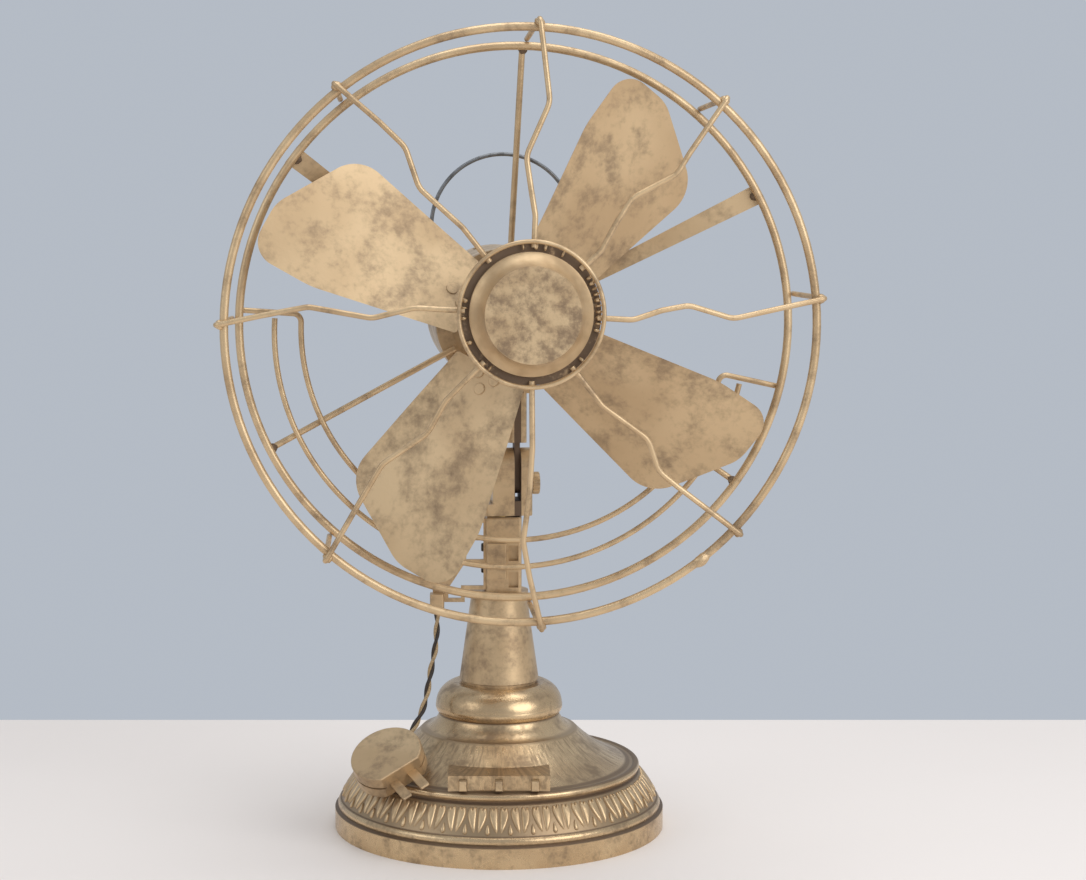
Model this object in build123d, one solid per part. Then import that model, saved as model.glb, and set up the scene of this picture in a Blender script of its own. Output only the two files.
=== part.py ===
from build123d import *
import os
from math import atan2, cos, degrees, hypot, pi, radians, sin, tan

# Table fan in the antique pattern. Millimetres, +Z up, the table at z = 0 and the column on the Z axis.
# The front, with the keys, faces -Y. Head pieces are drawn about the motor's middle and placed last.

# --- where the head sits
hub_height = 331.0          # motor axis above the table
head_turn = 5.5             # degrees the head is turned at rest, as photographed

# --- foot shell
foot_radius = 106.5
foot_wall = 2.0
rim_height = 13.0           # upright wall at the bottom
rim_step = 2.3              # the round below the relief band starts this far inside the rim
rim_crease = 1.2            # height of the crease between the rim and that round
round_run = 1.6             # the round's width, seen from above
round_rise = 4.8
round_bulge = 1.0
band_inset = 0.4            # the relief band starts this far inside the round
band_run = 11.2             # the relief band's width, seen from above
band_rise = 16.5
band_bulge = 0.8            # how far the relief band bows outwards
lip_groove = 1.9            # height of the groove below the bead
lip_bead = 2.6              # radius of the bead above the band
cone_top_radius = 50.0
cone_rise = 24.0            # from the bead's middle up to the collar
cone_sag = 2.5              # how far the cone's side is hollowed
collar_rise = 10.0          # flare between the cone and the dome
collar_sag = 2.2            # how far the flare is hollowed
dome_radius = 40.8
dome_rise = 20.0
dome_belly = 6.5            # the dome is widest this far above the flare
dome_tuck = 2.1             # how far it draws in at the flare
dome_round = 2.9            # how far its shoulder bows out
dome_crown = 4.0            # flat left round the column on the dome's top
felt_thickness = 2.0
felt_radius = 96.0
bottom_thickness = 1.5
bottom_clearance = 0.3
foot_screw_circle = 76.0
foot_screw_radius = 2.0
foot_screw_length = 12.0
foot_screw_count = 3

# --- keys on the foot
key_box_width = 63.0
key_box_front = 84.0        # front face's distance from the column axis
key_box_back = 66.0         # how far back the key box is hollow, from the column axis
key_box_height = 12.5       # above the bead's middle
key_width = 4.7
key_height = 6.2
key_reach = 5.0             # how far a key stands out
key_pitch = 22.2
key_clearance = 0.2
key_stem = 3.0              # square part behind the front wall
key_flange = 1.6            # how far the stop stands out at each side, and its thickness
key_rod = 1.5               # radius of the round rod that runs through the switch block
key_rod_play = 0.08
key_rod_length = 10.0
block_front = 74.0          # switch block's front face, from the column axis
block_depth = 8.0
block_height = 8.0
block_overlap = 3.0         # switch block past the outer keys
block_screw_radius = 1.3
contact_thickness = 0.5
contact_width = 8.0

# --- column, neck block and swivel
column_foot_radius = 25.6
column_top_radius = 18.0
column_wall = 2.5
column_groove = 1.2
column_bead = 1.6
tube_radius = 6.0
tube_bore = 4.5             # radius inside the tie tube
tube_clearance = 0.2
nut_height = 6.0
nut_width = 19.0
washer_thickness = 1.6
washer_radius = 16.0
neck_width = 23.0
neck_depth = 24.0
neck_height = 52.4
neck_shift = 3.0            # the block stands a little to the right, as photographed
neck_flange = 4.0
neck_corner = 2.0
pad_width = 12.5            # raised pad on the neck's front
pad_height = 23.0
pad_thickness = 2.5
pad_low = 13.0              # pad's lower edge above the column
pad_inset = 0.7             # pad's left edge, in from the block's left side
pocket_width = 6.0          # two pockets beside the pad
pocket_depth = 3.5
pocket_bar = 1.6            # bar between the pockets
tube_socket = 12.0
swivel_radius = 5.0
swivel_depth = 18.0
swivel_play = 0.04
swivel_end = 2.0            # pin's end below the slot's floor
swivel_washer = 0.8
swivel_washer_radius = 8.4
swivel_gap = 0.1

# --- side bracket and cord clip, at the left of the neck block
bracket_reach = 34.0        # from the neck block to the clip's end
bracket_height = 54.0
bracket_thickness = 3.0
bracket_forward = 8.0       # plate's middle ahead of the column axis
bracket_neck = 13.0         # width of the bracket's upper part
bracket_waist = 15.0        # its width half-way down
bracket_foot = 10.0         # height of its outer end
bracket_frame = 2.4         # width of the strips round its windows
bracket_strip = 1.5         # thickness of the strip against the neck block
bracket_screw_radius = 1.6
bracket_screw_depth = 4.0
bracket_screw_back = 3.0    # screws' place behind the column axis
bracket_screw_heights = (17.0, 31.0)    # above the column's top
column_gap = 4.0            # bracket's gap beside the column
clip_width = 9.0
clip_height = 12.0
clip_depth = 9.0
clip_place = 2.9            # clip's middle, right of the bracket's outer end
clip_drop = 5.6             # clip's lower face, below the bracket's lower edge

# --- yoke, tongue and thumb screw
tilt_drop = 108.0           # tilt axis below the motor axis
tilt_rise = 20.6            # tilt axis above the neck block's top
yoke_base_height = 9.5
yoke_left = 10.0            # yoke base's faces left and right of the swivel axis
yoke_right = 20.4
yoke_depth = 22.0
ear_left = 5.0              # left ear's outer face, left of the swivel axis
ear_height = 12.0           # straight part of an ear above the tilt axis
slot_width = 3.8
tongue_play = 0.2           # tongue's gap on each side in the slot
slot_place = 11.1           # slot's middle, right of the axis
tongue_radius = 6.5
tilt_screw_radius = 3.0
tilt_play = 0.05
thumb_radius = 7.2
thumb_thickness = 4.8
thumb_standoff = 0.8
thumb_groove_count = 18
tilt_nut_thickness = 4.0
tilt_nut_width = 10.0
neck_bar_width = 12.0
neck_bar_depth = 18.0
neck_bar_gap = 27.0         # bar's lower face above the tilt axis
saddle_width = 40.0
saddle_depth = 46.0
saddle_thickness = 4.0
saddle_rise = 5.0           # saddle's upper edges above the motor's lowest line
saddle_screw_radius = 2.0
saddle_screw_places = ((-8.0, -14.0), (-8.0, 14.0))     # right of and behind the column axis

# --- motor
motor_radius = 44.0
motor_front = 52.0          # front face ahead of the column axis
motor_rear = 56.0
motor_wall = 2.0
shell_joint = 4.0           # where the two shells meet, ahead of the column axis
shell_corner = 4.0
rear_dome = 22.0
shaft_radius = 4.0
bush_radius = 7.0
bush_length = 14.0
shaft_play = 0.03
bush_boss = 11.0
stator_length = 36.0
stator_ring = 7.0
pole_count = 4
pole_width = 16.0
rotor_radius = 21.0
air_gap = 0.6
rotor_length = 36.0
end_ring = 3.0
coil_width = 6.0
coil_height = 8.0
coil_gap = 0.5              # coil's corner to the stator's ring
thrust_radius = 7.0
thrust_thickness = 1.5
thrust_gap = 0.3
bolt_radius = 1.8
bolt_circle = 30.0
bolt_head = 3.4
bolt_end = -38.0            # bolts' ends, behind the column axis
vent_count = 10
vent_width = 3.0
vent_length = 15.0
vent_middle = -16.0         # vents' middle, behind the column axis

# --- blades
blade_place = 100.0         # middle of the blades ahead of the column axis
blade_tip = 158.5
blade_root = 30.0
blade_root_width = 42.0
blade_wide = 77.0
blade_wide_place = 118.0    # where the left side is widest, with the tip held upwards
blade_flare = 3.8           # how much further the right side spreads, up to its corner
blade_cut_start = 128.5     # the right tip corner is cut off slantwise from here
blade_cut_end = 6.4         # to here on the tip, left of the blade's middle
blade_corner = 22.0         # largest radius of the tip's corners
blade_side_radius = 60.0
blade_thickness = 1.2
blade_pitch_root = 36.0
blade_pitch_tip = 23.0
blade_flat = 64.0           # the blade is flat out to this radius, where the arm carries it
blade_start = 58.5          # direction of the first blade
blade_bends = (-5.0, 2.0, 2.5, -2.0)    # each blade's own turn away from an even quarter
arm_length = 50.0
arm_width = 22.0
arm_thickness = 2.5
hub_radius = 15.0
hub_front = 126.0
hub_rear = 82.0
hub_screw_radius = 2.0
hub_screw_place = 4.5       # ahead of the hub's rear face
rivet_radius = 2.0
rivet_head = 3.6
rivet_head_height = 0.8
rivet_places = ((35.0, -6.0), (35.0, 6.0), (43.5, 0.0))     # outwards and across, on each blade
cut_reach = 10.0            # how far a hole's tool reaches past a thin sheet

# --- guard. Each ring's middle lies (right, up) of the motor axis, as photographed.
front_ring_place = 135.0
front_ring_radius = 173.0
front_ring_middle = (1.5, 0.2)
rear_ring_place = 75.0
rear_ring_radius = 167.1
rear_ring_middle = (3.5, -1.6)
wire_gap = 0.05             # left between wires that are soldered together
ring_wire = 2.5             # wire radii
spoke_wire = 1.65
half_wire = 1.7
boss_wire = 1.3
bar_wire = 1.9
boss_place = 150.0
boss_right = 4.5            # the boss sits a little off the axis, as photographed
boss_up = 9.0
boss_radius = 42.0
spoke_tip = 38.5            # front wires' inner ends, from the boss's middle
plate_radius = 41.0
plate_thickness = 1.0
cap_radius = 36.0
cap_face = 28.0
cap_depth = 14.0
cap_wall = 1.2
boss_stud = 2.5
boss_nut_width = 9.0
boss_nut_height = 3.5
mount_ring_outer = 44.0
mount_ring_inner = 34.5
mount_ring_thickness = 2.0
guard_screw_circle = 37.2
guard_screw_radius = 1.5
guard_screw_depth = 5.0     # holes below the motor's front face
guard_screw_angles = (57.0, 115.0, 175.0, 266.0, 350.0)
bar_tip = 36.5              # inner ends of the bars on the mounting ring
bar_bend = 52.0             # where the bars bend outwards
bar_bend_radius = 12.0
strap_width = 12.0
strap_inner_width = 8.0
strap_thickness = 1.6
middle_half_radius = 143.8
middle_half_middle = (1.2, -6.7)
inner_half_radius = 129.8
inner_half_middle = (3.2, -4.3)
strap_angles = (142.5, 27.0)
upper_bar_angle = 87.5
lower_bar_angles = (207.5, 324.5)
half_left_angle = 175.7     # directions of the half rings' ends, from the inner one's middle
half_right_angle = 347.4
tail_bend = 5.0             # bend radius at the inner half ring's ends
tail_lap = 1.0              # how far an end reaches past the middle of the rear ring's wire
hook_radius = 3.0
hook_ease = 0.6             # extra room where a front wire bends round the front ring
bend_limit = 14.0           # largest bend radius in a front wire

# Each front wire: direction, then bends as (share of the front ring's radius, sideways), outside first.
spoke_bends = {
    "top": (86.7, ((0.931, -3.0), (0.756, -8.1), (0.575, 4.0), (0.461, 0.0), (0.382, -3.0))),
    "upper_right": (48.1, ((0.809, -4.5), (0.727, -7.0), (0.570, 3.6), (0.472, 1.0), (0.369, -3.0))),
    "right": (5.4, ((0.880, -2.8), (0.712, -6.0), (0.564, 4.5), (0.469, 3.2), (0.370, -0.5))),
    "lower_right": (-43.2, ((0.751, -5.0), (0.665, -6.0), (0.565, 3.4), (0.370, -0.8))),
    "bottom": (-86.1, ((0.838, -5.5), (0.711, -8.0), (0.565, -3.0), (0.396, 0.6))),
    "lower_left": (-130.5, ((0.775, -8.0), (0.645, -12.0), (0.468, -3.6), (0.347, -8.0))),
    "left": (178.9, ((0.867, -6.0), (0.714, -11.5), (0.503, -5.6), (0.364, -12.0))),
    "upper_left": (127.4, ((0.832, -7.0), (0.717, -10.0), (0.583, -2.0), (0.393, -8.0))),
}

# --- carry handle
handle_place = 25.0         # ahead of the column axis
handle_lift = 31.0          # pivots above the motor axis
handle_leg = 26.0
handle_radius = 44.6
handle_wire = 1.25
handle_pin = 8.0            # how far the bent-in ends reach into the lugs
handle_bend = 3.0
handle_play = 0.05
lug_width = 8.0
lug_height = 9.0
lug_reach = 41.0

# --- cord and plug
cord_radius = 2.1
cord_bend_limit = 1000.0
cord_points = (             # from the clip down to the plug
    (-39.6, -14.0, 141.8),
    (-39.6, -14.0, 124.0),
    (-43.8, -17.5, 104.0),
    (-46.8, -23.5, 85.0),
    (-53.2, -31.0, 71.0),
    (-58.8, -38.5, 64.8),
)
plug_radius = 22.8
plug_thickness = 16.0
plug_chord = 18.3           # flat side's distance from the middle
plug_place = (-68.7, -58.5, 54.9)
plug_lean = 33.2            # degrees the plug's face leans from level
plug_face = 243.7           # direction the lean faces, degrees from +X
plug_turn = 53.9            # turn about the face's own axis
plug_groove = 1.2
pin_length = 18.0
pin_width = 6.0
pin_thickness = 1.8
pin_spacing = 12.7
pin_root = 6.0              # how deep the pins sit in the plug
gland_length = 9.0
gland_radius = 3.2

# --- worked out from the sizes above
bottom_top = felt_thickness + bottom_thickness
round_radius = foot_radius - rim_step
band_low_radius = round_radius - round_run - band_inset
band_top_radius = band_low_radius - band_run
band_low = rim_height + rim_crease + round_rise
band_top = band_low + band_rise
lip_radius = band_top_radius - lip_bead
lip_height = band_top + lip_groove + lip_bead
cone_top = lip_height + cone_rise
collar_top = cone_top + collar_rise
dome_top = collar_top + dome_rise
tilt_height = hub_height - tilt_drop
neck_top = tilt_height - tilt_rise
column_top = neck_top - neck_height
neck_left = neck_shift - neck_width / 2
yoke_bottom = neck_top + swivel_washer + swivel_gap
yoke_floor = yoke_bottom + yoke_base_height
bar_low = tilt_height + neck_bar_gap
key_box_top = lip_height + key_box_height
key_middle = key_box_top - foot_wall - 2 * key_clearance - key_height / 2
key_places = (-key_pitch, 0.0, key_pitch)
block_top = key_box_top - foot_wall
block_screw_place = block_front - block_depth / 2
tube_low = dome_top - foot_wall - washer_thickness - nut_height - 2.0
coil_span = pole_width + 2 * coil_width
stator_inner = motor_radius - motor_wall - stator_ring
blade_angles = [blade_start + 90.0 * i + blade_bends[i] for i in range(4)]
bar_foot = motor_front + mount_ring_thickness + bar_wire + wire_gap
bar_outer = rear_ring_place - ring_wire - wire_gap - bar_wire


# ---------------------------------------------------------------- helpers
def ring_of(count, radius, start=0.0):
    """Points evenly spaced on a circle."""
    turns = [radians(start + 360.0 / count * i) for i in range(count)]
    return [(radius * cos(turn), radius * sin(turn)) for turn in turns]


def polar(radius, angle, forward=0.0):
    return Vector(radius * cos(radians(angle)), radius * sin(radians(angle)), forward)


def turned(edges):
    """A solid of revolution about the Z axis from an outline of (radius, height)."""
    return revolve(Plane.XZ * make_face(edges), Axis.Z)


def turned_points(*outline):
    return turned(Polyline(*outline, close=True))


def disc(radius, low, high):
    return Pos(0, 0, low) * Cylinder(radius, high - low, align=(Align.CENTER, Align.CENTER, Align.MIN))


def washer(outer, inner, low, high):
    return disc(outer, low, high) - disc(inner, low - 1, high + 1)


def block(x_low, x_high, y_low, y_high, z_low, z_high):
    box = Box(x_high - x_low, y_high - y_low, z_high - z_low, align=Align.MIN)
    return Pos(x_low, y_low, z_low) * box


def hex_nut(across, low, high, bore):
    shape = extrude(RegularPolygon(across / 2, 6, major_radius=False), high - low)
    return Pos(0, 0, low) * shape - disc(bore, low - 1, high + 1)


def pan_screw(shank, length, head, head_height):
    """A pan-head screw along Z, its head's underside at z = 0 and its shank below."""
    top = disc(head, 0, head_height)
    top = fillet(top.edges().group_by(Axis.Z)[-1], head_height * 0.6)
    return top + disc(shank, -length, 0.01)


def wire_along(path, radius):
    section = Plane(path @ 0, z_dir=path % 0) * Circle(radius)
    return sweep(section, path=path)


def bend_radii(points, limit):
    """Bend radii for a wire through the points, each as large as its two runs allow."""
    radii = []
    for before, here, after in zip(points, points[1:], points[2:]):
        run_in = here - before
        run_out = after - here
        turn = radians(run_in.get_angle(run_out))
        shorter = min(run_in.length, run_out.length)
        radii.append(min(limit, 0.45 * shorter / tan(turn / 2)))
    return radii


def bent_wire(points, radii, radius):
    path = FilletPolyline(*points, radius=radii)
    return wire_along(path, radius)


# ---------------------------------------------------------------- foot
def bowed(start, end, bulge):
    """An arc from start to end that bows out to the left of its way by the bulge."""
    way = Vector(*end) - Vector(*start)
    middle = (Vector(*start) + Vector(*end)) / 2 + Vector(-way.Y, way.X).normalized() * bulge
    return ThreePointArc(start, middle, end)


def foot_outline():
    """Half outline of the foot's outside, from the table up to the column."""
    bead = 0.7 * lip_bead
    round_low = (round_radius, rim_height + rim_crease)
    round_high = (round_radius - round_run, band_low)
    lip_groove_middle = (band_top_radius - lip_bead / 2, band_top + lip_groove / 2)
    lip_low = (lip_radius + bead, lip_height - bead)
    lip_high = (lip_radius - bead, lip_height + bead)
    cone_low = (lip_radius - lip_bead - 0.6, lip_height + bead)
    cone_high = (cone_top_radius, cone_top)
    groove = (dome_radius - dome_tuck, collar_top)
    belly = (dome_radius, collar_top + dome_belly)
    crown = (column_foot_radius + dome_crown, dome_top)
    edges = Line((0, 0), (foot_radius, 0))
    edges += Line((foot_radius, 0), (foot_radius, rim_height))
    edges += Line((foot_radius, rim_height), round_low)
    edges += bowed(round_low, round_high, -round_bulge)
    edges += Line(round_high, (band_low_radius, band_low))
    edges += bowed((band_low_radius, band_low), (band_top_radius, band_top), -band_bulge)
    edges += Polyline((band_top_radius, band_top), lip_groove_middle, lip_low)
    edges += ThreePointArc(lip_low, (lip_radius + bead, lip_height + bead), lip_high)
    edges += Line(lip_high, cone_low)
    edges += bowed(cone_low, cone_high, cone_sag)
    edges += bowed(cone_high, groove, collar_sag)
    edges += bowed(groove, belly, -0.5 * dome_tuck)
    edges += bowed(belly, crown, -dome_round)
    edges += Line(crown, (0, dome_top))
    edges += Line((0, dome_top), (0, 0))
    return edges


def foot_hollow():
    wall = foot_wall
    low = (lip_radius - lip_bead - wall, lip_height - 0.4 * wall)
    high = (cone_top_radius - wall, cone_top - 1.4 * wall)
    inner = dome_radius - dome_tuck - wall
    edges = Polyline(
        (0, -1), (foot_radius - wall, -1), (foot_radius - wall, rim_height - wall),
        (band_low_radius - wall, rim_height + wall / 2), (band_top_radius - wall, band_top - wall), low)
    edges += bowed(low, high, cone_sag)
    edges += Polyline(
        high, (inner, cone_top), (inner, dome_top - dome_rise / 2),
        (column_foot_radius + dome_crown, dome_top - wall), (0, dome_top - wall), (0, -1))
    return turned(edges)


def key_slots(clearance):
    half = key_width / 2 + clearance
    tall = key_height / 2 + clearance
    front = -key_box_front - 1
    back = -key_box_front + foot_wall + 1
    return [block(x - half, x + half, front, back, key_middle - tall, key_middle + tall) for x in key_places]


def foot_shell():
    outside = turned(foot_outline())
    half = key_box_width / 2
    key_box = block(-half, half, -key_box_front, -cone_top_radius, lip_height, key_box_top)
    key_room = block(
        -half + foot_wall, half - foot_wall, -key_box_front + foot_wall, -key_box_back,
        lip_height - 4.0, key_box_top - foot_wall)
    shell = outside + key_box - foot_hollow() - key_room
    for x, y in ring_of(foot_screw_count, foot_screw_circle, 90.0):
        pillar = Pos(x, y, 0) * disc(foot_screw_radius + 2.5, bottom_top, cone_top)
        shell += pillar & outside
        shell -= Pos(x, y, 0) * disc(foot_screw_radius, bottom_top - 1, bottom_top + foot_screw_length)
    shell -= disc(tube_radius + tube_clearance, collar_top, dome_top + 1)
    for slot in key_slots(key_clearance):
        shell -= slot
    for x in (-key_pitch / 2, key_pitch / 2):
        hole = disc(block_screw_radius, block_top - 1, block_top + foot_wall * 0.7)
        shell -= Pos(x, -block_screw_place, 0) * hole
    return shell


def bottom_plate():
    plate = disc(foot_radius - foot_wall - bottom_clearance, felt_thickness, bottom_top)
    for x, y in ring_of(foot_screw_count, foot_screw_circle, 90.0):
        plate -= Pos(x, y, 0) * disc(foot_screw_radius, 0, bottom_top + 1)
    return plate


def bottom_screws():
    screw = pan_screw(foot_screw_radius, foot_screw_length + bottom_thickness - 1, 1.7 * foot_screw_radius, 1.5)
    places = ring_of(foot_screw_count, foot_screw_circle, 90.0)
    return [Pos(x, y, felt_thickness) * Rot(180, 0, 0) * screw for x, y in places]


def felt_pad():
    pad = disc(felt_radius, 0, felt_thickness)
    for x, y in ring_of(foot_screw_count, foot_screw_circle, 90.0):
        pad -= Pos(x, y, 0) * disc(2.3 * foot_screw_radius, -1, felt_thickness + 1)
    return pad


def speed_key(x):
    """A key that is pushed in: square where it shows, with a stop behind the wall and a round rod."""
    half = key_width / 2
    inner = -key_box_front + foot_wall
    bar = block(
        x - half, x + half, -key_box_front - key_reach, inner + key_stem,
        key_middle - key_height / 2, key_middle + key_height / 2)
    bar = fillet(bar.edges().group_by(Axis.Y)[0], 0.8)
    stop = block(
        x - half - key_flange, x + half + key_flange, inner, inner + key_flange,
        key_middle - key_height / 2, key_middle + key_height / 2)
    return bar + stop + key_rod_at(x, key_rod, inner + key_stem - 1, inner + key_stem + key_rod_length)


def key_rod_at(x, radius, front, back):
    return Pos(x, front, key_middle) * Rot(-90, 0, 0) * disc(radius, 0, back - front)


def switch_block():
    half = key_pitch + key_width / 2 + block_overlap
    body = block(-half, half, -block_front, -block_front + block_depth, block_top - block_height, block_top)
    for x in (-key_pitch / 2, key_pitch / 2):
        body -= Pos(x, -block_screw_place, 0) * disc(block_screw_radius, 0, block_top + 1)
    for x in key_places:
        body -= key_rod_at(x, key_rod + key_rod_play, -block_front - 1, -block_front + block_depth + 1)
    return body


def switch_screws():
    screw = pan_screw(block_screw_radius, block_height + foot_wall * 0.6, 2 * block_screw_radius, 1.2)
    low = block_top - block_height
    return [Pos(x, -block_screw_place, low) * Rot(180, 0, 0) * screw for x in (-key_pitch / 2, key_pitch / 2)]


def contact_strips():
    """Flat contacts on the switch block's face, one round each key's rod."""
    low = block_top - block_height + 0.5
    strips = []
    for x in key_places:
        strip = block(
            x - contact_width / 2, x + contact_width / 2, -block_front - contact_thickness, -block_front,
            low, block_top - 0.5)
        strips.append(strip - key_rod_at(x, 1.5 * key_rod, -block_front - 2, -block_front + 1))
    return strips


# ---------------------------------------------------------------- column, neck block, side bracket
def column():
    groove = column_foot_radius - column_groove
    outside = turned_points(
        (0, dome_top), (groove, dome_top), (groove, dome_top + column_bead),
        (column_foot_radius, dome_top + column_bead + 0.6), (column_top_radius, column_top), (0, column_top))
    inside = turned_points(
        (0, dome_top - 1), (groove - column_wall, dome_top - 1), (groove - column_wall, dome_top + column_bead),
        (column_top_radius - column_wall, column_top - 2 * column_wall), (0, column_top - 2 * column_wall))
    return outside - inside - disc(tube_radius + tube_clearance, dome_top, column_top + 1)


def tie_tube():
    return washer(tube_radius, tube_bore, tube_low, column_top + tube_socket)


def tie_washer():
    return washer(washer_radius, tube_radius, dome_top - foot_wall - washer_thickness, dome_top - foot_wall)


def tie_nut():
    high = dome_top - foot_wall - washer_thickness
    return hex_nut(nut_width, high - nut_height, high, tube_radius)


def neck_block():
    x_low = neck_left
    x_high = neck_left + neck_width
    body = block(x_low, x_high, -neck_depth / 2, neck_depth / 2, column_top + neck_flange, neck_top)
    body = fillet(body.edges().filter_by(Axis.Z), neck_corner)
    body = chamfer(body.edges().group_by(Axis.Z)[-1], 1.0)
    body += disc(column_top_radius + 0.8, column_top, column_top + neck_flange)
    low = column_top + pad_low
    front = -neck_depth / 2
    pad_left = x_low + pad_inset
    pad = block(pad_left, pad_left + pad_width, front - pad_thickness, 0, low, low + pad_height)
    body += fillet(pad.edges().filter_by(Axis.Z).group_by(Axis.Y)[0], 0.8)
    pocket_left = pad_left + pad_width + pocket_bar
    for start in (low - pad_height / 4, low + pad_height / 2):
        body -= block(
            pocket_left, pocket_left + pocket_width, front - 1, front + pocket_depth,
            start, start + pad_height / 2 - pocket_bar)
    body -= disc(tube_radius, column_top - 1, column_top + tube_socket)
    body -= disc(swivel_radius, neck_top - swivel_depth, neck_top + 1)
    for height in bracket_screw_heights:
        body -= side_hole(height)
    return body


def side_hole(height):
    place = Pos(neck_left, bracket_screw_back, column_top + height) * Rot(0, 90, 0)
    return place * disc(bracket_screw_radius, -bracket_strip - 1, bracket_screw_depth)


def bracket_outline():
    """The bracket's plate as seen from the front, in (right, up)."""
    left = neck_left
    top = neck_top - 1.0
    low = top - bracket_height
    end = left - bracket_reach
    step = column_top + neck_flange + 1.5
    return Polyline(
        (left, top), (left - bracket_neck, top), (left - bracket_waist, top - bracket_height / 2),
        (end, low + bracket_foot), (end, low), (-column_top_radius - column_gap, low),
        (-column_top_radius - column_gap, step), (left, step), close=True)


def bracket_windows():
    strip = neck_left - bracket_strip
    top = neck_top - 1.0
    low = top - bracket_height
    frame = bracket_frame
    waist = neck_left - bracket_waist + frame
    neck = neck_left - bracket_neck + frame
    end = neck_left - bracket_reach + bracket_foot
    rows = ((0.05, 0.21), (0.26, 0.49))
    windows = []
    for start, finish in rows:
        z_high = top - start * bracket_height
        z_low = top - finish * bracket_height
        side_high = neck + (waist - neck) * 2 * start
        side_low = neck + (waist - neck) * 2 * finish
        windows.append(Polyline(
            (strip, z_high), (side_high, z_high), (side_low, z_low), (strip, z_low), close=True))
    inner = -column_top_radius - column_gap - frame
    step = column_top + neck_flange + 1.5 + frame
    windows.append(Polyline(
        (strip, top - 0.54 * bracket_height), (waist - 1.0, top - 0.54 * bracket_height),
        (end, low + bracket_foot - 1.0), (end, low + frame), (inner, low + frame), (inner, step), (strip, step),
        close=True))
    return windows


def side_bracket():
    """A flat plate with windows, and a strip that is screwed to the neck block's left side."""
    plate = make_face(bracket_outline())
    for window in bracket_windows():
        plate -= make_face(window)
    body = Pos(0, -bracket_forward, 0) * extrude(Plane.XZ * plate, bracket_thickness / 2, both=True)
    back = bracket_screw_back + bracket_screw_radius + 3.0
    step = column_top + neck_flange + 1.5
    body += block(neck_left - bracket_strip, neck_left, -bracket_forward, back, step, neck_top - 1.0)
    for height in bracket_screw_heights:
        body -= side_hole(height)
    return body


def bracket_screws():
    screw = pan_screw(
        bracket_screw_radius, bracket_screw_depth + bracket_strip - 0.5, 1.7 * bracket_screw_radius, 1.6)
    x = neck_left - bracket_strip
    return [Pos(x, bracket_screw_back, column_top + z) * Rot(0, -90, 0) * screw for z in bracket_screw_heights]


def cord_clip():
    """The block that holds the cord's upper end against the front of the bracket."""
    x = neck_left - bracket_reach + clip_place
    low = neck_top - 1.0 - bracket_height - clip_drop
    y = -bracket_forward - bracket_thickness / 2
    body = block(x - clip_width / 2, x + clip_width / 2, y - clip_depth, y, low, low + clip_height)
    return fillet(body.edges().filter_by(Axis.Z).group_by(Axis.Y)[0], 1.5)


def swivel_pin():
    return disc(swivel_radius, neck_top - swivel_depth, yoke_floor - swivel_end)


def swivel_washer_ring():
    return washer(swivel_washer_radius, swivel_radius + swivel_play, neck_top, neck_top + swivel_washer)


# ---------------------------------------------------------------- yoke, thumb screw, neck bar
def along_x(radius, x_low, x_high):
    return Pos(0, 0, tilt_height) * Rot(0, 90, 0) * disc(radius, x_low, x_high)


def ear(x_low, x_high):
    """An ear seen from the side: straight to its height, then round."""
    half = yoke_depth / 2
    top = tilt_height + ear_height
    edges = Line((-half, yoke_bottom), (half, yoke_bottom)) + Line((half, yoke_bottom), (half, top))
    edges += ThreePointArc((half, top), (0, top + half), (-half, top))
    edges += Line((-half, top), (-half, yoke_bottom))
    return Pos(x_low, 0, 0) * extrude(Plane.YZ * make_face(edges), x_high - x_low)


def yoke():
    half = yoke_depth / 2
    body = ear(-ear_left, yoke_right)
    body = chamfer(body.edges().group_by(Axis.X)[0] + body.edges().group_by(Axis.X)[-1], 0.8)
    base = block(-yoke_left, yoke_right, -half, half, yoke_bottom, yoke_floor - 2.0)
    body += fillet(base.edges().filter_by(Axis.Z), 2.0)
    body -= block(
        slot_place - slot_width / 2, slot_place + slot_width / 2, -half - 1, half + 1,
        yoke_floor, tilt_height + ear_height + half + 1)
    body -= disc(swivel_radius + swivel_play, yoke_bottom - 1, yoke_floor - swivel_end + 0.5)
    return body - along_x(tilt_screw_radius + tilt_play, -yoke_left - 1, yoke_right + 1)


def tilt_nut():
    nut = hex_nut(tilt_nut_width, 0, tilt_nut_thickness, tilt_screw_radius + tilt_play)
    return Pos(-ear_left, 0, tilt_height) * Rot(0, -90, 0) * nut


def thumb_screw():
    start = yoke_right + thumb_standoff
    knob = along_x(thumb_radius, start, start + thumb_thickness)
    knob = fillet(knob.edges().filter_by(GeomType.CIRCLE), 1.0)
    for y, z in ring_of(thumb_groove_count, thumb_radius + 0.3):
        groove = Rot(0, 90, 0) * disc(0.9, start - 1, start + thumb_thickness + 1)
        knob -= Pos(0, y, tilt_height + z) * groove
    collar = along_x(tilt_screw_radius + 2.0, yoke_right + 0.2, start + 1)
    return knob + collar + along_x(tilt_screw_radius, -ear_left - tilt_nut_thickness, start + 1)


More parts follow.
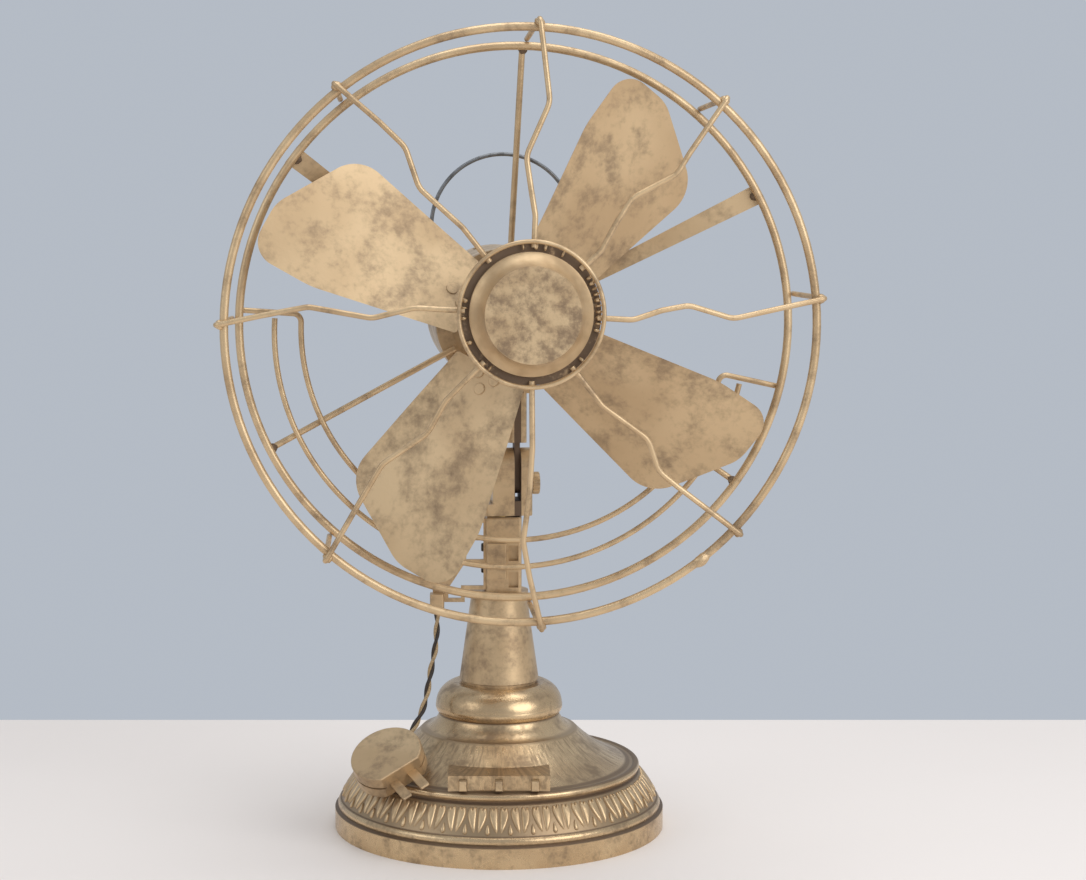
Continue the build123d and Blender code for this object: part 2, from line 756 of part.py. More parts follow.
def neck_bar():
    """The tongue in the yoke's slot, the bar above it and the saddle under the motor, one casting."""
    thickness = slot_width - 2 * tongue_play
    right = (tongue_radius, tilt_height)
    left = (-tongue_radius, tilt_height)
    edges = Polyline(left, (-tongue_radius, bar_low + 1), (tongue_radius, bar_low + 1), right)
    edges += ThreePointArc(right, (0, tilt_height - tongue_radius), left)
    tongue = Pos(slot_place, 0, 0) * extrude(Plane.YZ * make_face(edges), thickness / 2, both=True)
    half = neck_bar_width / 2
    saddle_low = hub_height - motor_radius - saddle_thickness
    bar = block(
        slot_place - half, slot_place + half, -neck_bar_depth / 2, neck_bar_depth / 2, bar_low, saddle_low + 1)
    bar = fillet(bar.edges().filter_by(Axis.Z), 2.5)
    saddle = block(
        -saddle_width / 2, saddle_width / 2, -saddle_depth / 2, saddle_depth / 2,
        saddle_low, hub_height - motor_radius + saddle_rise)
    saddle = fillet(saddle.edges().filter_by(Axis.Z), 4.0)
    saddle -= Pos(0, 0, hub_height) * Rot(90, 0, 0) * disc(motor_radius, -saddle_depth, saddle_depth)
    body = tongue + bar + saddle
    for x, y in saddle_screw_places:
        high = hub_height - motor_radius + saddle_rise + 1
        body -= Pos(x, y, 0) * disc(saddle_screw_radius, saddle_low - 1, high)
    return body - along_x(tilt_screw_radius + tilt_play, 0, yoke_right)


def saddle_screws():
    saddle_low = hub_height - motor_radius - saddle_thickness
    length = saddle_thickness + motor_wall
    screw = Rot(180, 0, 0) * pan_screw(saddle_screw_radius, length, 1.8 * saddle_screw_radius, 1.8)
    return [Pos(x, y, saddle_low) * screw for x, y in saddle_screw_places]


# ---------------------------------------------------------------- motor, drawn x right, y up, z forward
def front_shell():
    outside = turned_points(
        (0, shell_joint), (motor_radius, shell_joint), (motor_radius, motor_front - shell_corner),
        (motor_radius - shell_corner * 0.3, motor_front - shell_corner * 0.3),
        (motor_radius - shell_corner, motor_front), (0, motor_front))
    inside = disc(motor_radius - motor_wall, shell_joint - 1, motor_front - motor_wall)
    lug_low = handle_lift - lug_height / 2
    for side in (-1, 1):
        x_low, x_high = sorted((side * motor_radius * 0.5, side * lug_reach))
        outside += block(
            x_low, x_high, lug_low, lug_low + lug_height, handle_place - lug_width / 2,
            handle_place + lug_width / 2)
    body = outside - inside
    body += disc(bush_boss, motor_front - bush_length + 2, motor_front + 3)
    body -= disc(bush_radius, 0, motor_front + 4)
    for side in (-1, 1):
        bore = disc(handle_wire + handle_play, lug_reach - handle_pin - 0.5, lug_reach + 1)
        body -= Pos(0, handle_lift, handle_place) * Rot(0, 90 * side, 0) * bore
    for x, y in ring_of(4, bolt_circle, 45.0):
        body -= Pos(x, y, 0) * disc(bolt_radius, 0, motor_front + 1)
    for angle in guard_screw_angles:
        hole = disc(guard_screw_radius, motor_front - guard_screw_depth, motor_front + 1)
        body -= Pos(polar(guard_screw_circle, angle)) * hole
    return cut_saddle_holes(body)


def rear_outline(wall):
    dome = motor_radius - wall
    rear = -motor_rear + wall
    start = -motor_rear + rear_dome
    edges = Line((0, shell_joint), (dome, shell_joint)) + Line((dome, shell_joint), (dome, start))
    middle = (dome * 0.83, rear + (start - rear) * 0.42)
    edges += ThreePointArc((dome, start), middle, (dome * 0.45, rear))
    edges += Line((dome * 0.45, rear), (0, rear)) + Line((0, rear), (0, shell_joint))
    return edges


def rear_shell():
    outside = turned(rear_outline(0.0))
    body = outside - turned(rear_outline(motor_wall))
    body += disc(bush_boss, -motor_rear, -motor_rear + bush_length)
    for x, y in ring_of(4, bolt_circle, 45.0):
        boss = Pos(x, y, 0) * disc(bolt_radius + 2.2, -motor_rear, bolt_end + 8) & outside
        body += boss - Pos(x, y, 0) * disc(bolt_radius, bolt_end, bolt_end + 9)
    body -= disc(bush_radius, -motor_rear + 3, shell_joint)
    slot = block(
        motor_radius * 0.86, motor_radius + 1, -vent_width / 2, vent_width / 2, vent_middle - vent_length / 2,
        vent_middle + vent_length / 2)
    for i in range(vent_count):
        body -= Rot(0, 0, 360.0 / vent_count * i) * slot
    return cut_saddle_holes(body)


def cut_saddle_holes(body):
    """Holes for the saddle's screws, in the motor's drafting frame."""
    for x, y in saddle_screw_places:
        hole = Rot(90, 0, 0) * disc(saddle_screw_radius, 0, cut_reach)
        body -= Pos(x, -motor_radius + motor_wall + 3, -y) * hole
    return body


def motor_bolts():
    head = extrude(RegularPolygon(bolt_head, 6), 2.5)
    bolt = head + disc(bolt_radius, bolt_end - motor_front, 0.01)
    return [Pos(x, y, motor_front) * bolt for x, y in ring_of(4, bolt_circle, 45.0)]


def shaft_bushes():
    bore = shaft_radius + shaft_play
    front = washer(bush_radius, bore, motor_front - bush_length + 2, motor_front + 3)
    rear = washer(bush_radius, bore, -motor_rear + 3, -motor_rear + bush_length)
    return [front, rear]


def thrust_washers():
    ring = washer(thrust_radius, shaft_radius, 0, thrust_thickness)
    front = motor_front - bush_length + 2 - thrust_gap - thrust_thickness
    rear = -motor_rear + bush_length + thrust_gap
    return [Pos(0, 0, front) * ring, Pos(0, 0, rear) * ring]


def stator_core():
    half = stator_length / 2
    ring = washer(motor_radius - motor_wall, stator_inner, -half, half)
    inner = rotor_radius + air_gap
    for i in range(pole_count):
        pole = block(inner - 4, motor_radius - motor_wall - 1, -pole_width / 2, pole_width / 2, -half, half)
        ring += Rot(0, 0, 360.0 / pole_count * i) * pole
    return ring - disc(inner, -half - 1, half + 1)


def field_coils():
    half = stator_length / 2
    high = ((stator_inner - coil_gap) ** 2 - (coil_span / 2) ** 2) ** 0.5
    low = high - coil_height
    around = block(low, high, -coil_span / 2, coil_span / 2, -half - coil_width, half + coil_width)
    around = fillet(around.edges().filter_by(Axis.X), coil_width * 0.8)
    core = block(low - 1, high + 1, -pole_width / 2, pole_width / 2, -half, half)
    return [Rot(0, 0, 360.0 / pole_count * i) * (around - core) for i in range(pole_count)]


# ---------------------------------------------------------------- rotor and blades
def shaft():
    return disc(shaft_radius, -motor_rear + 4.0, hub_front)


def rotor_core():
    return washer(rotor_radius, shaft_radius, -rotor_length / 2, rotor_length / 2)


def rotor_end_rings():
    half = rotor_length / 2
    ring = washer(rotor_radius - 1.0, rotor_radius - 7.0, half, half + end_ring)
    return [ring, Rot(180, 0, 0) * ring]


def blade_frame(angle):
    """Where a blade's flat root lies: local x outwards, local z square to the sheet."""
    return Rot(0, 0, angle) * Pos(0, 0, blade_place) * Rot(blade_pitch_root, 0, 0)


def blade_spider():
    body = disc(hub_radius, hub_rear, hub_front)
    body = fillet(body.edges().group_by(Axis.Z)[-1], 3.0)
    sunk = (blade_thickness + arm_thickness) / 2
    arm = block(
        hub_radius * 0.6, arm_length, -arm_width / 2, arm_width / 2, -sunk - arm_thickness / 2,
        -sunk + arm_thickness / 2)
    arm = fillet(arm.edges().filter_by(Axis.Z).group_by(Axis.X)[-1], arm_width * 0.4)
    for u, v in rivet_places:
        arm -= Pos(u, v, 0) * disc(rivet_radius, -cut_reach, cut_reach)
    for angle in blade_angles:
        body += blade_frame(angle) * arm
    body -= disc(shaft_radius, hub_rear - 1, hub_front + 1)
    return body - hub_screw_frame() * disc(hub_screw_radius, 0, hub_radius + 1)


def hub_screw_frame():
    return Pos(0, 0, hub_rear + hub_screw_place) * Rot(0, 90, 0)


def hub_screw():
    return hub_screw_frame() * disc(hub_screw_radius, shaft_radius, hub_radius + 0.8)


def blade_outline():
    """The paddle's outline from above, its corners as round as the sides leave room for."""
    half_root = blade_root_width / 2
    half_wide = blade_wide / 2
    points = [
        (blade_root, -half_root), (blade_cut_start, -half_wide - blade_flare), (blade_tip, blade_cut_end),
        (blade_tip, half_wide), (blade_wide_place, half_wide), (blade_root, half_root)]
    corners = [Vector(x, y) for x, y in points]
    room = bend_radii([corners[-1]] + corners + [corners[0]], blade_side_radius)
    wanted = [2.0, blade_corner, blade_corner, blade_corner, blade_side_radius, 2.0]
    radii = [min(a, b) for a, b in zip(room, wanted)]
    return FilletPolyline(*points, radius=radii, close=True)


def blade_section(radius, pitch):
    across = (0, cos(radians(pitch)), sin(radians(pitch)))
    plane = Plane(origin=(radius, 0, 0), x_dir=across, z_dir=(1, 0, 0))
    return plane * Rectangle(1.6 * blade_wide, blade_thickness)


def blade(angle):
    """A sheet blade: flat at the arm, then twisting towards the tip, cut to a round-ended paddle."""
    middle = (blade_flat + blade_tip) / 2
    pitch_middle = (blade_pitch_root + blade_pitch_tip) / 2
    flat = [blade_section(blade_root - 2, blade_pitch_root), blade_section(blade_flat, blade_pitch_root)]
    sheet = loft(flat, ruled=True)
    twisted = [
        blade_section(blade_flat, blade_pitch_root), blade_section(middle, pitch_middle),
        blade_section(blade_tip + 2, blade_pitch_tip)]
    sheet += loft(twisted, ruled=True)
    deep = 0.8 * blade_wide
    paddle = Pos(0, 0, -deep) * extrude(make_face(blade_outline()), 2 * deep)
    body = sheet & paddle
    for u, v in rivet_places:
        hole = Pos(u, v, 0) * disc(rivet_radius, -cut_reach, cut_reach)
        body -= Rot(blade_pitch_root, 0, 0) * hole
    return Rot(0, 0, angle) * Pos(0, 0, blade_place) * body


def blade_rivets():
    front = blade_thickness / 2
    back = -blade_thickness / 2 - arm_thickness
    head = disc(rivet_head, front, front + rivet_head_height)
    head = fillet(head.edges().group_by(Axis.Z)[-1], 0.7 * rivet_head_height)
    tail = disc(0.8 * rivet_head, back - rivet_head_height, back)
    rivet = head + disc(rivet_radius, back - rivet_head_height, front) + tail
    rivets = []
    for angle in blade_angles:
        for u, v in rivet_places:
            rivets.append(blade_frame(angle) * Pos(u, v, 0) * rivet)
    return rivets


# ---------------------------------------------------------------- guard
def wire_ring(middle, radius, place, wire):
    return Pos(middle[0], middle[1], place) * Torus(radius, wire)


def reach(angle, middle, radius):
    """How far out from the axis, in a direction, a circle about this middle lies."""
    offset = Vector(*middle)
    along = offset.dot(polar(1, angle))
    return along + (radius ** 2 - offset.dot(offset) + along ** 2) ** 0.5


def bar_slope(angle):
    """How much a bar comes forward for each millimetre outwards, from its bend to the rear ring."""
    return (bar_outer - bar_foot) / (reach(angle, rear_ring_middle, rear_ring_radius) - bar_bend)


def bar_front(distance, angle):
    """How far forward the middle of the bar in this direction lies, at a distance from the axis."""
    return bar_foot + bar_slope(angle) * (distance - bar_bend)


def round_bar(angle):
    end = reach(angle, rear_ring_middle, rear_ring_radius + ring_wire)
    points = [(bar_tip, bar_foot), (bar_bend, bar_foot), (end, bar_front(end, angle))]
    path = FilletPolyline(*[(x, 0, z) for x, z in points], radius=bar_bend_radius)
    return Rot(0, 0, angle) * wire_along(path, bar_wire)


def flat_strap(angle):
    half = strap_thickness / 2
    foot = motor_front + mount_ring_thickness
    end = reach(angle, rear_ring_middle, rear_ring_radius + ring_wire)
    outer = rear_ring_place - ring_wire - wire_gap
    side = Polyline(
        (bar_tip, foot), (bar_bend, foot), (end, outer - 2 * half), (end, outer), (bar_bend, foot + 2 * half),
        (bar_tip, foot + 2 * half), close=True)
    strap = extrude(Plane.XZ * make_face(side), strap_width, both=True)
    wide = strap_width / 2
    narrow = strap_inner_width / 2
    taper = Polyline(
        (bar_tip, -narrow), (bar_bend, -narrow), (end, -wide), (end, wide), (bar_bend, narrow),
        (bar_tip, narrow), close=True)
    return Rot(0, 0, angle) * (strap & extrude(make_face(taper), 2 * rear_ring_place))


def half_ring_place(middle, radius):
    """A half ring lies against the front of the lower bars."""
    fronts = []
    for angle in lower_bar_angles:
        bar_surface = bar_front(reach(angle, middle, radius), angle) + bar_wire * hypot(1.0, bar_slope(angle))
        fronts.append(bar_surface + half_wire + wire_gap)
    return max(fronts)


def lower_arc(radius, place, start, end):
    """The lower arc of a circle, from the left angle round to the right one."""
    middle = (start + end) / 2
    points = [polar(radius, a, place) for a in (start, middle, end)]
    return ThreePointArc(*points)


def middle_ring_end(angle):
    """Where an end of the inner half ring crosses the middle one, seen from the middle one's own middle."""
    between = Vector(*middle_half_middle) - Vector(*inner_half_middle)
    crossing = polar(reach(angle, (between.X, between.Y), middle_half_radius), angle) - between
    return degrees(atan2(crossing.Y, crossing.X)) % 360


def middle_half_ring():
    gap = degrees((2 * half_wire + wire_gap) / middle_half_radius)
    place = half_ring_place(middle_half_middle, middle_half_radius)
    start = middle_ring_end(half_left_angle) + gap
    end = middle_ring_end(half_right_angle) - gap
    path = lower_arc(middle_half_radius, place, start, end)
    return Pos(*middle_half_middle) * wire_along(path, half_wire)


def tail_step():
    """The angle between an end of the inner half ring's circle and its straight run outwards."""
    away = inner_half_radius + tail_bend
    return degrees(atan2(tail_bend, (away ** 2 - tail_bend ** 2) ** 0.5))


def tail(angle, side):
    """An end of the inner half ring: a bend out of the circle, then a straight run to the rear ring."""
    place = half_ring_place(inner_half_middle, inner_half_radius)
    away = inner_half_radius + tail_bend
    centre = polar(away, angle + side * tail_step(), place)
    on_circle = polar(inner_half_radius, angle + side * tail_step(), place)
    on_tail = polar((away ** 2 - tail_bend ** 2) ** 0.5, angle, place)
    halfway = ((on_circle + on_tail) / 2 - centre).normalized() * tail_bend + centre
    bend = wire_along(ThreePointArc(on_circle, halfway, on_tail), half_wire)
    between = Vector(*rear_ring_middle) - Vector(*inner_half_middle)
    end = reach(angle, (between.X, between.Y), rear_ring_radius + tail_lap)
    outer = polar(end, angle, rear_ring_place - ring_wire - half_wire - wire_gap)
    run = wire_along(Line(on_tail, outer), half_wire)
    return bend + Pos(on_tail) * Sphere(half_wire) + run


def inner_half_ring():
    place = half_ring_place(inner_half_middle, inner_half_radius)
    arc = lower_arc(inner_half_radius, place, half_left_angle + tail_step(), half_right_angle - tail_step())
    body = wire_along(arc, half_wire) + tail(half_left_angle, 1) + tail(half_right_angle, -1)
    return Pos(*inner_half_middle) * body


def spoke_points(angle, bends):
    """A front wire's corners from the rear ring round the front ring and in to the boss plate."""
    outside = ring_wire + spoke_wire + wire_gap
    hook = reach(angle, front_ring_middle, front_ring_radius + outside + hook_ease)
    start = reach(angle, rear_ring_middle, rear_ring_radius + outside + wire_gap)
    near = front_ring_place + outside
    far = boss_place - boss_wire - spoke_wire - wire_gap
    along = polar(1, angle)
    across = polar(1, angle + 90)
    points = [polar(start, angle, rear_ring_place - ring_wire), polar(hook, angle, near)]
    last = bends[-1][0] * front_ring_radius
    for share, sideways in bends:
        distance = share * front_ring_radius
        forward = near + (far - near) * (hook - distance) / (hook - last)
        points.append(along * distance + across * sideways + Vector(0, 0, forward))
    boss = Vector(boss_right, boss_up, far)
    points.append(boss + (points[-1] - boss).normalized() * spoke_tip)
    return points


def spoke(name):
    angle, bends = spoke_bends[name]
    points = spoke_points(angle, bends)
    radii = bend_radii(points, bend_limit)
    radii[0] = hook_radius
    return bent_wire(points, radii, spoke_wire)


def boss_ring():
    return wire_ring((boss_right, boss_up), boss_radius, boss_place, boss_wire)


def boss_plate():
    front = boss_place - boss_wire - 2 * (spoke_wire + wire_gap)
    plate = washer(plate_radius, boss_stud, front - plate_thickness, front)
    return Pos(boss_right, boss_up, 0) * plate


def cap_outline(inset):
    radius = cap_radius - inset
    face = cap_face - inset
    high = cap_depth - inset
    edges = Line((0, 0), (radius, 0)) + Line((radius, 0), (radius, 0.25 * cap_depth))
    edges += bowed((radius, 0.25 * cap_depth), (face, high), 1.2)
    return edges + Line((face, high), (0, high)) + Line((0, high), (0, 0))


def boss_cap():
    front = boss_place - boss_wire - 2 * (spoke_wire + wire_gap)
    shell = turned(cap_outline(0.0)) - Pos(0, 0, -0.01) * turned(cap_outline(cap_wall))
    stud = disc(boss_stud, -plate_thickness - boss_nut_height - 1.0, cap_depth - 0.5 * cap_wall)
    return Pos(boss_right, boss_up, front) * (shell + stud)


def boss_nut():
    high = boss_place - boss_wire - 2 * (spoke_wire + wire_gap) - plate_thickness
    return Pos(boss_right, boss_up, 0) * hex_nut(boss_nut_width, high - boss_nut_height, high, boss_stud)


def mount_ring():
    high = motor_front + mount_ring_thickness
    ring = washer(mount_ring_outer, mount_ring_inner, motor_front, high)
    for angle in guard_screw_angles:
        ring -= Pos(polar(guard_screw_circle, angle)) * disc(guard_screw_radius, motor_front - 1, high + 1)
    return ring


def guard_screws():
    length = mount_ring_thickness + guard_screw_depth - 1
    screw = pan_screw(guard_screw_radius, length, 1.6 * guard_screw_radius, 1.4)
    high = motor_front + mount_ring_thickness
    return [Pos(polar(guard_screw_circle, angle, high)) * screw for angle in guard_screw_angles]


# ---------------------------------------------------------------- carry handle
def carry_handle():
    """A wire bail: its ends are bent in and turn in the motor's lugs."""
    reach = handle_radius
    bend = handle_bend
    inner = lug_reach - handle_pin
    turn = bend * (1 - cos(radians(45)))
    path = Line((-inner, 0), (-reach + bend, 0))
    path += ThreePointArc((-reach + bend, 0), (-reach + turn, turn), (-reach, bend))
    path += Line((-reach, bend), (-reach, handle_leg))
    path += ThreePointArc((-reach, handle_leg), (0, handle_leg + reach), (reach, handle_leg))
    path += Line((reach, handle_leg), (reach, bend))
    path += ThreePointArc((reach, bend), (reach - turn, turn), (reach - bend, 0))
    path += Line((reach - bend, 0), (inner, 0))
    return Pos(0, handle_lift, handle_place) * wire_along(path, handle_wire)


# ---------------------------------------------------------------- cord and plug
def cord_path():
    points = [Vector(*p) for p in cord_points]
    radii = bend_radii(points, cord_bend_limit)
    print("cord bend radii", [round(r, 1) for r in radii])
    return FilletPolyline(*points, radius=radii)


def cord():
    path = cord_path()
    tube = wire_along(path, cord_radius)
    expected = pi * cord_radius ** 2 * path.length
    print("cord length", round(path.length, 2), "volume share", round(tube.volume / expected, 4))
    return tube


def plug_frame():
    """The plug's middle, local z out of its face, local y away from its flat side."""
    lean = radians(plug_lean)
    face = radians(plug_face)
    out = Vector(sin(lean) * cos(face), sin(lean) * sin(face), cos(lean))
    level = Vector(-sin(face), cos(face), 0)
    plane = Plane(origin=plug_place, x_dir=level, z_dir=out)
    return plane.location * Rot(0, 0, plug_turn)


def plug_body():
    """A D-shaped plug with a groove round it, and a short gland where the cord goes in."""
    half = plug_thickness / 2
    body = Pos(0, 0, -half) * disc(plug_radius, 0, plug_thickness)
    body -= block(-plug_radius, plug_radius, -2 * plug_radius, -plug_chord, -half - 1, half + 1)
    body = fillet(body.edges().group_by(Axis.Z)[0] + body.edges().group_by(Axis.Z)[-1], 1.0)
    body -= washer(plug_radius + 1, plug_radius - plug_groove, -plug_groove / 2, plug_groove / 2)
    for x in (-pin_spacing / 2, pin_spacing / 2):
        body -= block(
            x - pin_width / 2, x + pin_width / 2, -plug_chord - 1, -plug_chord + pin_root,
            -pin_thickness / 2, pin_thickness / 2)
    body = plug_frame() * body
    end = Vector(*cord_points[-1])
    way = (end - Vector(*cord_points[-2])).normalized()
    gland = Plane(origin=end, z_dir=way).location * disc(gland_radius, 0, gland_length)
    return body + gland


def plug_pins():
    pins = []
    for x in (-pin_spacing / 2, pin_spacing / 2):
        pin = block(
            x - pin_width / 2, x + pin_width / 2, -plug_chord - pin_length, -plug_chord + pin_root,
            -pin_thickness / 2, pin_thickness / 2)
        pin = chamfer(pin.edges().group_by(Axis.Y)[0], 0.4 * pin_thickness)
        pins.append(plug_frame() * pin)
    return pins


# ---------------------------------------------------------------- placing and writing
head_place = Pos(0, 0, hub_height) * Rot(0, 0, head_turn) * Rot(90, 0, 0)
yoke_place = Rot(0, 0, head_turn)
foot_parts = {
    "foot_shell": foot_shell,
    "bottom_plate": bottom_plate,
    "bottom_screws": bottom_screws,
    "felt_pad": felt_pad,
    "switch_block": switch_block,
    "switch_screws": switch_screws,
    "contact_strips": contact_strips,
    "column": column,
    "tie_tube": tie_tube,
    "tie_washer": tie_washer,
    "tie_nut": tie_nut,
    "neck_block": neck_block,
    "side_bracket": side_bracket,
    "bracket_screws": bracket_screws,
    "cord_clip": cord_clip,
    "swivel_pin": swivel_pin,
    "swivel_washer": swivel_washer_ring,
    "cord": cord,
    "plug_body": plug_body,
    "plug_pins": plug_pins,
}
neck_parts = {
    "yoke": yoke,
    "tilt_nut": tilt_nut,
    "thumb_screw": thumb_screw,
    "neck_bar": neck_bar,
    "saddle_screws": saddle_screws,
}
head_parts = {
    "motor_shell_front": front_shell,
    "motor_shell_rear": rear_shell,
    "motor_bolts": motor_bolts,
    "shaft_bushes": shaft_bushes,
    "stator_core": stator_core,
    "field_coils": field_coils,
    "guard_mount_ring": mount_ring,
    "guard_screws": guard_screws,
    "middle_half_ring": middle_half_ring,
    "inner_half_ring": inner_half_ring,
    "boss_ring": boss_ring,
    "boss_plate": boss_plate,
    "boss_cap": boss_cap,
    "boss_nut": boss_nut,
    "carry_handle": carry_handle,
    "shaft": shaft,
    "rotor_core": rotor_core,
    "rotor_end_rings": rotor_end_rings,
    "thrust_washers": thrust_washers,
    "blade_spider": blade_spider,
    "hub_screw": hub_screw,
    "blade_rivets": blade_rivets,
}


def write(name, shape, place):
    solids = shape if isinstance(shape, list) else [shape]
    placed = [place * solid for solid in solids]
    whole = placed[0] if len(placed) == 1 else Compound(children=placed)
    export_step(whole, "parts/" + name + ".step")


os.makedirs("parts", exist_ok=True)
for name, make in foot_parts.items():
    write(name, make(), Pos(0, 0, 0))
for i, x in enumerate(key_places):
    write("speed_key_" + str(i + 1), speed_key(x), Pos(0, 0, 0))
for name, make in neck_parts.items():
    write(name, make(), yoke_place)
for name, make in head_parts.items():
    write(name, make(), head_place)
write("front_ring", wire_ring(front_ring_middle, front_ring_radius, front_ring_place, ring_wire), head_place)
write("rear_ring", wire_ring(rear_ring_middle, rear_ring_radius, rear_ring_place, ring_wire), head_place)
write("round_bars", [round_bar(angle) for angle in (upper_bar_angle, *lower_bar_angles)], head_place)
write("flat_straps", [flat_strap(angle) for angle in strap_angles], head_place)
for i, angle in enumerate(blade_angles):
    write("blade_" + str(i + 1), blade(angle), head_place)
upper_wires = ("top", "upper_right", "upper_left", "right")
lower_wires = ("left", "lower_left", "bottom", "lower_right")
write("front_wires_upper", [spoke(name) for name in upper_wires], head_place)
write("front_wires_lower", [spoke(name) for name in lower_wires], head_place)
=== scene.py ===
from math import cos, pi, radians, sin

import bmesh
import bpy
from mathutils import Matrix, Vector, noise


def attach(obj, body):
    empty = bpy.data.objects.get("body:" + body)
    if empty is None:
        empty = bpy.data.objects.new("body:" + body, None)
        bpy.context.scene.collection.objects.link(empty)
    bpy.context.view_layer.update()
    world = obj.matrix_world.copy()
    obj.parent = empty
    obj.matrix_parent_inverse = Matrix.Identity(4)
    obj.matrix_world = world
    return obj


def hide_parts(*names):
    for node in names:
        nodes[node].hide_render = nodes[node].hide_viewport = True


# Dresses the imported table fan: antique gold on the metal, a twisted cord, the foot's relief band, solder.
# Metres, +Z up, the front with the keys faces -Y.

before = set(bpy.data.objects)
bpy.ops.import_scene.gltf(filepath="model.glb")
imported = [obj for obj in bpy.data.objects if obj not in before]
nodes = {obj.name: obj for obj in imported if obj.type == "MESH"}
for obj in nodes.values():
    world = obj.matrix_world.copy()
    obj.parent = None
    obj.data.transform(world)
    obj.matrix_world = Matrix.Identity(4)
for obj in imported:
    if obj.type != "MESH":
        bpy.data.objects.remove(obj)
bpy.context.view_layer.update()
scene = bpy.context.scene
print("frame loaded:", len(nodes), "nodes")

head = {
    "turn": radians(5.5),    # to the right, as in the photo
    "up": 0.331,             # the hub's height
}
headPlace = Matrix.Translation((0.0, 0.0, head["up"])) @ Matrix.Rotation(head["turn"], 4, "Z")
headPlace = headPlace @ Matrix.Rotation(radians(90.0), 4, "X")


def meshObject(name, bm, smooth=True):
    bmesh.ops.recalc_face_normals(bm, faces=bm.faces)
    mesh = bpy.data.meshes.new(name)
    bm.to_mesh(mesh)
    bm.free()
    if smooth:
        mesh.shade_smooth()
    made = bpy.data.objects.new(name, mesh)
    scene.collection.objects.link(made)
    return made


def lineCurve(name, kind, points):
    curve = bpy.data.curves.new(name, "CURVE")
    curve.dimensions = "3D"
    spline = curve.splines.new(kind)
    spline.points.add(len(points) - 1)
    for point, place in zip(spline.points, points):
        point.co = (*place, 1.0)
    return curve, spline


def curveMesh(name, curve):
    holder = bpy.data.objects.new(name, curve)
    mesh = bpy.data.meshes.new_from_object(holder)
    bpy.data.objects.remove(holder)
    return mesh


# node helpers

def newFinish(name, metal, rough):
    mat = bpy.data.materials.new(name)
    mat.use_nodes = True
    tree = mat.node_tree
    shader = tree.nodes["Principled BSDF"]
    shader.inputs["Metallic"].default_value = metal
    shader.inputs["Roughness"].default_value = rough
    place = tree.nodes.new("ShaderNodeTexCoord").outputs["Object"]
    return mat, tree, shader, place


def maths(tree, operation, *values):
    node = tree.nodes.new("ShaderNodeMath")
    node.operation = operation
    for socket, value in zip(node.inputs, values):
        if isinstance(value, (int, float)):
            socket.default_value = value
        else:
            tree.links.new(value, socket)
    return node.outputs[0]


def noiseOf(tree, place, scale, detail=3.0, rough=0.55):
    node = tree.nodes.new("ShaderNodeTexNoise")
    node.inputs["Scale"].default_value = scale
    node.inputs["Detail"].default_value = detail
    node.inputs["Roughness"].default_value = rough
    tree.links.new(place, node.inputs["Vector"])
    return node.outputs["Fac"]


def stepOf(tree, value, low, high, start=0.0, end=1.0):
    node = tree.nodes.new("ShaderNodeMapRange")
    node.interpolation_type = "SMOOTHSTEP"
    tree.links.new(value, node.inputs["Value"])
    for name, number in (("From Min", low), ("From Max", high), ("To Min", start), ("To Max", end)):
        node.inputs[name].default_value = number
    return node.outputs["Result"]


def within(tree, value, low, high, before, after):      # 1 from low to high, fading to 0 before and after
    rising = stepOf(tree, value, low - before[0], low + before[1])
    falling = stepOf(tree, value, high, high + after, 1.0, 0.0)
    return maths(tree, "MULTIPLY", rising, falling)


def mixColour(tree, share, a, b):
    node = tree.nodes.new("ShaderNodeMix")
    node.data_type = "RGBA"
    tree.links.new(share, node.inputs[0])
    for socket, value in ((node.inputs[6], a), (node.inputs[7], b)):     # the colour sockets
        if isinstance(value, tuple):
            socket.default_value = (*value, 1.0)
        else:
            tree.links.new(value, socket)
    return node.outputs[2]


def bumpOn(tree, shader, height, strength, distance):
    node = tree.nodes.new("ShaderNodeBump")
    node.inputs["Strength"].default_value = strength
    node.inputs["Distance"].default_value = distance
    tree.links.new(height, node.inputs["Height"])
    tree.links.new(node.outputs["Normal"], shader.inputs["Normal"])


def splitPlace(tree, place):
    split = tree.nodes.new("ShaderNodeSeparateXYZ")
    tree.links.new(place, split.inputs[0])
    return split.outputs


def headRight(tree, x, y):   # distance to the turned head's right
    return maths(tree, "MULTIPLY_ADD", x, cos(head["turn"]), maths(tree, "MULTIPLY", y, sin(head["turn"])))


# camera, light and table

camera = {
    "place": (0.0, -1.5, 0.42),
    "pitch": -6.43,          # degrees, downwards
    "lens": 78.1,
    "sensor": 36.0,
    "shift": 0.0405,
    "near": 0.05,
    "far": 30.0,
}

lights = [                   # name, place, what it looks at, size, watts
    ("softboxRight", (1.35, -1.3, 1.0), (0.0, 0.0, 0.25), 1.6, 17.0),
    ("softboxLeft", (-1.4, -0.9, 0.9), (0.0, 0.0, 0.25), 1.0, 3.0),
    ("softboxTop", (0.2, -0.1, 1.7), (0.0, 0.0, 0.2), 1.3, 10.5),
]

surroundings = {
    "wall": (0.46, 0.50, 0.56, 1.0),        # pale blue-grey
    "fill": (0.95, 0.97, 1.0, 1.0),
    "fillStrength": 0.58,
}

tableTop = {
    "half": (2.4, 1.6, 1.0),
    "back": 0.29,            # the far edge, behind the column
    "rough": 0.7,
    "cloud": (3.0, 4.0),     # scale and detail
    "pale": (0.84, 0.79, 0.76),
    "darker": 0.97,
}


